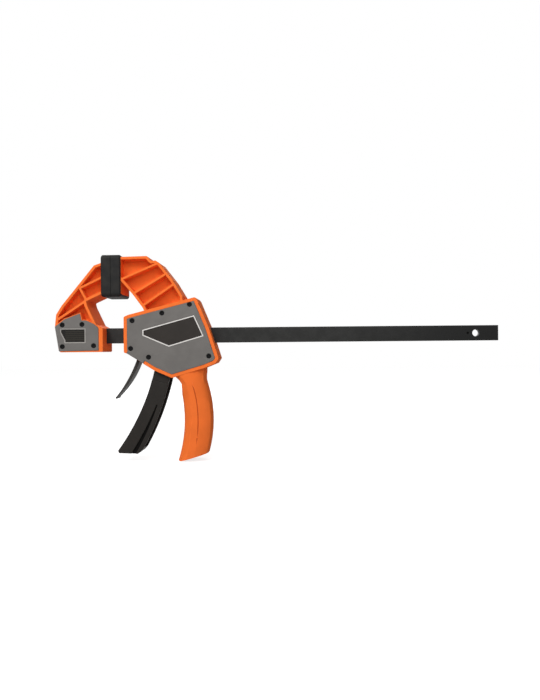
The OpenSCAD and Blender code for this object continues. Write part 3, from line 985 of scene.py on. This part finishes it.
@dataclass
class Jaw(SubAssembly):
    """A ribbed jaw with its pad and pin, and with screwed covers that hold a plate each.

    Attributes:
        half_depth: Half the depth of the moulding, in millimetres.
        half_web: Half the thickness of its web, in millimetres.
        cover_y: Depth of its covers' faces from the middle plane, in millimetres.
        border_y: Depth over which a plate's border stands, in millimetres.
        plate_round: Rounding of a plate's outline, in millimetres.
        screw_round: Rounding of the screws' edges, in millimetres.
        pin_round: Rounding of the pin's ends, in millimetres.
        pad_round: Rounding of the pad's edges, in millimetres.
        meeting_round: Rounding of the pad's edges where the pads meet, in millimetres.
    """

    half_depth: float = 19
    half_web: float = 6
    cover_y: float = 19.6
    border_y: float = 19.52
    plate_round: float = 0.1
    screw_round: float = 0.12
    pin_round: float = 0.4
    pad_round: float = 2.0
    meeting_round: float = 0.5

    def dress_plate(self, node: str, finish: Finish, border: Finish) -> bpy.types.Object:
        """Dresses a plate that is set into a cover.

        Args:
            node: Name of the plate's CAD node.
            finish: Finish of the plate.
            border: Finish of its border.

        Returns:
            The dressed plate.
        """
        outline = Edges(self.plate_round, lies_at(self.cover_y), segments=2)
        plate = self.dress_node(node, finish, Slot.INSET, outline)
        self.paint(plate, border, between(self.border_y, math.inf))
        return plate

    def dress_screws(self, node: str) -> None:
        """Dresses the screws of the covers."""
        self.dress_node(node, self.finishes.screw, Slot.SCREW, all_edges(self.screw_round))

    def dress_pin(self, node: str) -> None:
        """Dresses a cross pin."""
        self.dress_node(node, self.finishes.pin, Slot.PIN, all_edges(self.pin_round))

    def dress_pad(self, node: str, meeting: float) -> None:
        """Dresses a pad, softly rounded but for its sharper edges where the pads meet.

        Args:
            node: Name of the pad's CAD node.
            meeting: Place along the bar of its meeting face, in metres.
        """
        meets = in_cross_plane(meeting)
        self.dress_node(node, self.finishes.pad, Slot.PAD,
                        Edges(self.pad_round, lambda edge: not meets(edge), segments=4),
                        Edges(self.meeting_round, meets))


@dataclass
class FixedJaw(Jaw):
    """The bar with the jaw that is pinned to its end.

    Attributes:
        bar_round: Rounding of the bar's edges, in millimetres.
        frame_round: Rounding of the frame's outlines, in millimetres.
        frame_weld: Corners of the frame nearer than this many millimetres become one.
        cover_round: Rounding of the covers' outlines, in millimetres.
        raised_y: Depth over which a badge's raised bars stand, in millimetres.
    """

    body: Body = Body.BAR
    bar_round: float = 0.35
    frame_round: float = 0.2
    frame_weld: float = 0.02
    cover_round: float = 0.3
    raised_y: float = 19.45

    def build(self) -> None:
        """Dresses the bar and the fixed jaw's pieces."""
        finishes = self.finishes
        bar = self.dress_node("bar", finishes.bar, Slot.BAR, all_edges(self.bar_round))
        # Paints shade into the punched stop mark.
        self.paint(bar, finishes.painted_punch_shade, in_punch)
        self.dress_node("fixed_jaw_frame", finishes.orange, Slot.ORANGE,
                        rim(self.half_web, self.frame_round),
                        rim(self.half_depth, self.frame_round), weld=self.frame_weld)
        for side in Side:
            self.dress_node(f"fixed_cover_{side.value}", finishes.grey, Slot.GREY,
                            rim(self.cover_y, self.cover_round))
            badge = self.dress_plate(f"fixed_badge_{side.value}", finishes.badge,
                                     finishes.badge_border)
            self.paint(badge, finishes.badge_bar, between(self.raised_y, self.border_y))
        self.dress_screws("fixed_cover_screws")
        self.dress_pin("fixed_jaw_pin")
        _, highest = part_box("fixed_pad")
        self.dress_pad("fixed_pad", highest[0])


@dataclass(frozen=True)
class Spring:
    """A coil spring that rides on the moving jaw.

    Attributes:
        node: Name of its CAD node.
        joint: The joint that presses it. Not used.
        seat: Place along the bar of its fixed end, in metres. Not used.
        keep: Share of its length that is left at the joint's limit. Not used.
    """

    node: str
    joint: str
    seat: float
    keep: float


@dataclass
class MovingJaw(Jaw):
    """The housing with its arm, grip, covers, pad, trigger pin and springs.

    Attributes:
        web_round: Rounding of the web's outlines, in millimetres.
        side_round: Rounding of the housing's outlines at its full depth, in millimetres.
        housing_weld: Corners of the housing nearer than this many millimetres become one.
        cover_round: Rounding of the covers' outlines, in millimetres.
        springs: The springs that it carries.
    """

    body: Body = Body.JAW
    web_round: float = 0.35
    side_round: float = 0.3
    housing_weld: float = 0.08
    cover_round: float = 0.35
    springs: tuple[Spring, ...] = (
        Spring("drive_spring", "drive_slide", seat=-0.3416, keep=0.765),
        Spring("brake_spring", "release_pivot", seat=-0.4001, keep=0.44))

    def build(self) -> None:
        """Dresses the moving jaw's pieces."""
        finishes = self.finishes
        housing = self.dress_node("housing", finishes.orange, Slot.ORANGE,
                                  rim(self.half_web, self.web_round),
                                  rim(self.half_depth, self.side_round),
                                  weld=self.housing_weld)
        # Paints shade into the crease on the grip's sides.
        self.paint(housing, finishes.crease, in_crease)
        for side in Side:
            self.dress_node(f"main_cover_{side.value}", finishes.grey, Slot.GREY,
                            rim(self.cover_y, self.cover_round))
            self.dress_plate(f"label_plate_{side.value}", finishes.label,
                             finishes.label_border)
        self.dress_screws("main_cover_screws")
        lowest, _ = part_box("moving_pad")
        self.dress_pad("moving_pad", lowest[0])
        self.dress_pin("trigger_pin")
        for spring in self.springs:
            coil = self.dress_node(spring.node, finishes.spring, Slot.SPRING)
            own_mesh(coil)


@dataclass
class Trigger(SubAssembly):
    """The moulded trigger.

    Attributes:
        half_width: Half its width, in millimetres.
        half_inset: Half the width between its faces that lie deeper, in millimetres.
        outer_round: Rounding of its outline, in millimetres.
        inset_round: Rounding of the deeper faces' outlines, in millimetres.
        lever_weld: Corners nearer than this many millimetres become one.
    """

    body: Body = Body.TRIGGER
    half_width: float = 13
    half_inset: float = 12
    outer_round: float = 0.8
    inset_round: float = 0.5
    lever_weld: float = 0.04

    def build(self) -> None:
        """Dresses the trigger."""
        lever = self.dress_node("trigger_lever", self.finishes.trigger, Slot.TRIGGER,
                                rim(self.half_width, self.outer_round),
                                rim(self.half_inset, self.inset_round),
                                weld=self.lever_weld)
        # Paints shade into the groove along the trigger's sides.
        self.paint(lever, self.finishes.groove, in_groove)


@dataclass
class DrivePack(SubAssembly):
    """The plates that grip and pull the bar.

    Attributes:
        plates: How many there are.
        plate_round: Rounding of their edges, in millimetres.
    """

    body: Body = Body.DRIVE
    plates: int = 3
    plate_round: float = 0.25

    def build(self) -> None:
        """Dresses the drive plates."""
        for number in range(1, self.plates + 1):
            self.dress_node(f"drive_plate_{number}", self.finishes.plate, Slot.PLATE,
                            all_edges(self.plate_round))


@dataclass
class Brake(SubAssembly):
    """The brake plate with its riveted release lever.

    Attributes:
        plate_round: Rounding of the plate's edges, in millimetres.
        lever_round: Rounding of the lever's edges, in millimetres.
        rivet_round: Rounding of the rivets' edges, in millimetres.
    """

    body: Body = Body.BRAKE
    plate_round: float = 0.25
    lever_round: float = 0.5
    rivet_round: float = 0.2

    def build(self) -> None:
        """Dresses the brake's pieces."""
        self.dress_node("brake_plate", self.finishes.plate, Slot.PLATE,
                        all_edges(self.plate_round))
        self.dress_node("release_lever", self.finishes.lever, Slot.LEVER,
                        all_edges(self.lever_round, segments=3))
        self.dress_node("release_rivets", self.finishes.pin, Slot.PIN,
                        all_edges(self.rivet_round))


# ---------------------------------------------------------------------------
# Studio
# ---------------------------------------------------------------------------


@dataclass(frozen=True)
class SoftLight:
    """A square lamp that points at the middle of the clamp.

    Attributes:
        name: Name of the lamp.
        direction: Where it stands, seen from the clamp's middle.
        distance: How far away it stands, in metres.
        size: Length of its sides in metres.
        power: Its power in watts.
    """

    name: str
    direction: Axes
    distance: float
    size: float
    power: float

    def hang(self, target: Vector) -> None:
        """Hangs the lamp so that it faces a target.

        Args:
            target: The target.
        """
        towards = Vector(self.direction).normalized()
        bpy.ops.object.light_add(type="AREA", location=target + towards * self.distance)
        lamp = bpy.context.active_object
        lamp.name = self.name
        lamp.rotation_euler = towards.to_track_quat("Z", "Y").to_euler()
        lamp.data.shape = "SQUARE"
        lamp.data.size = self.size
        lamp.data.energy = self.power


@dataclass(frozen=True)
class PaleFloor:
    """The floor's finish, which is paler where it is seen than where it lights.

    Attributes:
        name: Name of its material.
        dark: The darker colour of its grain.
        pale: The paler colour of its grain.
        grain: Size of the grain in millimetres.
        roughness: Its roughness.
        near_glow: White that only the camera and mirrors see in the floor by the clamp.
        far_glow: The same where the floor runs out to the surround.
        near: Distance up to which the near glow lies, in metres.
        far: Distance from which the far glow lies, in metres.
    """

    name: str = "pale_floor"
    dark: Colour = (0.43, 0.43, 0.43)
    pale: Colour = (0.47, 0.47, 0.47)
    grain: float = 2
    roughness: float = 0.9
    near_glow: float = 0.76
    far_glow: float = 0.9
    near: float = 0.5
    far: float = 1.8

    def material(self) -> bpy.types.Material:
        """Builds the material.

        Returns:
            The material.
        """
        sketch = Sketch(self.name)
        away = sketch.add("ShaderNodeVectorMath", operation="LENGTH")
        sketch.feed(away.inputs[0], sketch.place)
        glow = sketch.span(away.outputs["Value"], self.near, self.far, self.near_glow,
                           self.far_glow)
        grain = sketch.noise(self.grain, detail=3)
        return sketch.dress(
            Base_Color=sketch.blend(grain, self.dark, self.pale),
            Roughness=self.roughness,
            Specular_IOR_Level=0.0,
            Emission_Color=(1.0, 1.0, 1.0),
            Emission_Strength=sketch.maths(Maths.MULTIPLY, sketch.seen_directly(), glow))


class Surround(NodeWork):
    """Builds the nodes of the world round its Background shader."""

    def __init__(self) -> None:
        """Starts a white world."""
        world = bpy.data.worlds.new("white_surround")
        world.use_nodes = True
        bpy.context.scene.world = world
        self.tree = world.node_tree
        self.shader = self.tree.nodes["Background"]
        self.feed(self.shader.inputs["Color"], (1.0, 1.0, 1.0))

    def soften(self, ambient: float) -> None:
        """Leaves the world white where it is seen, and softens it where it lights."""
        strength = self.span(self.seen_directly(), 0, 1, ambient, 1)
        self.feed(self.shader.inputs["Strength"], strength)


@dataclass
class Studio:
    """Camera, pale floor, white surround and soft lights.

    Attributes:
        distance: Distance of the camera from the clamp's middle plane, in millimetres.
        camera_x: Place of the camera along the bar, in millimetres.
        camera_z: Height of the camera over the bar's middle, in millimetres.
        roll: Turn of the camera about its line of sight, in degrees.
        focal: Focal length in millimetres.
        sensor: Width of the camera's sensor in millimetres.
        shift: Sideways shift of the frame, as a share of its width.
        ambient: Light that the surround gives the clamp, where 1 is white.
        floor: Finish of the floor.
        floor_size: Length of the floor's sides in metres.
        floor_gap: Gap between the clamp's lowest point and the floor, in millimetres.
        lights: The lamps.
    """

    distance: float = 720
    camera_x: float = -237.7
    camera_z: float = -19.4
    roll: float = -0.48
    focal: float = 38.4
    sensor: float = 36
    shift: float = -15 / 540
    ambient: float = 0.2
    floor: PaleFloor = PaleFloor()
    floor_size: float = 8
    floor_gap: float = 0.3
    lights: tuple[SoftLight, ...] = (
        SoftLight("key_light", (-0.6, -0.8, 0.8), distance=1.5, size=0.6, power=14),
        SoftLight("front_light", (0.1, -1.0, 0.5), distance=1.6, size=0.8, power=8.3),
        SoftLight("back_light", (-0.4, 0.9, 0.6), distance=1.6, size=1.0, power=13))

    def build(self) -> None:
        """Sets up the camera, the floor, the surround and the lights."""
        bpy.context.scene.view_settings.view_transform = "Standard"
        self.place_camera()
        self.lay_floor()
        Surround().soften(self.ambient)
        middle = (cad_box[0] + cad_box[1]) / 2
        for light in self.lights:
            light.hang(Vector((self.camera_x * MM, 0, middle.z)))
        log.info("studio: camera, floor, surround and %d lights", len(self.lights))

    def place_camera(self) -> None:
        """Stands the camera in front of the clamp, level, with a slight roll."""
        place = (self.camera_x * MM, -self.distance * MM, self.camera_z * MM)
        level = math.radians(90)
        bpy.ops.object.camera_add(location=place, rotation=(level, 0, 0))
        camera = bpy.context.active_object
        camera.name = "camera"
        camera.rotation_euler.rotate_axis("Z", math.radians(self.roll))
        camera.data.sensor_fit = "HORIZONTAL"
        camera.data.sensor_width = self.sensor
        camera.data.lens = self.focal
        camera.data.shift_x = self.shift
        bpy.context.scene.camera = camera

    def lay_floor(self) -> None:
        """Lays the floor under the clamp's lowest point."""
        height = cad_box[0].z - self.floor_gap * MM
        bpy.ops.mesh.primitive_plane_add(size=self.floor_size, location=(0, 0, height))
        floor = bpy.context.active_object
        floor.name = "floor"
        floor.data.materials.append(self.floor.material())


def main() -> None:
    """Builds the studio and the clamp."""
    logging.basicConfig(level=logging.INFO, format="%(name)s: %(message)s")
    Studio().build()
    finishes = Finishes()
    for part in (FixedJaw, MovingJaw, Trigger, DrivePack, Brake):
        part(finishes).build()
        log.info("%s dressed", part.__name__)


if __name__ == "__main__":
    main()
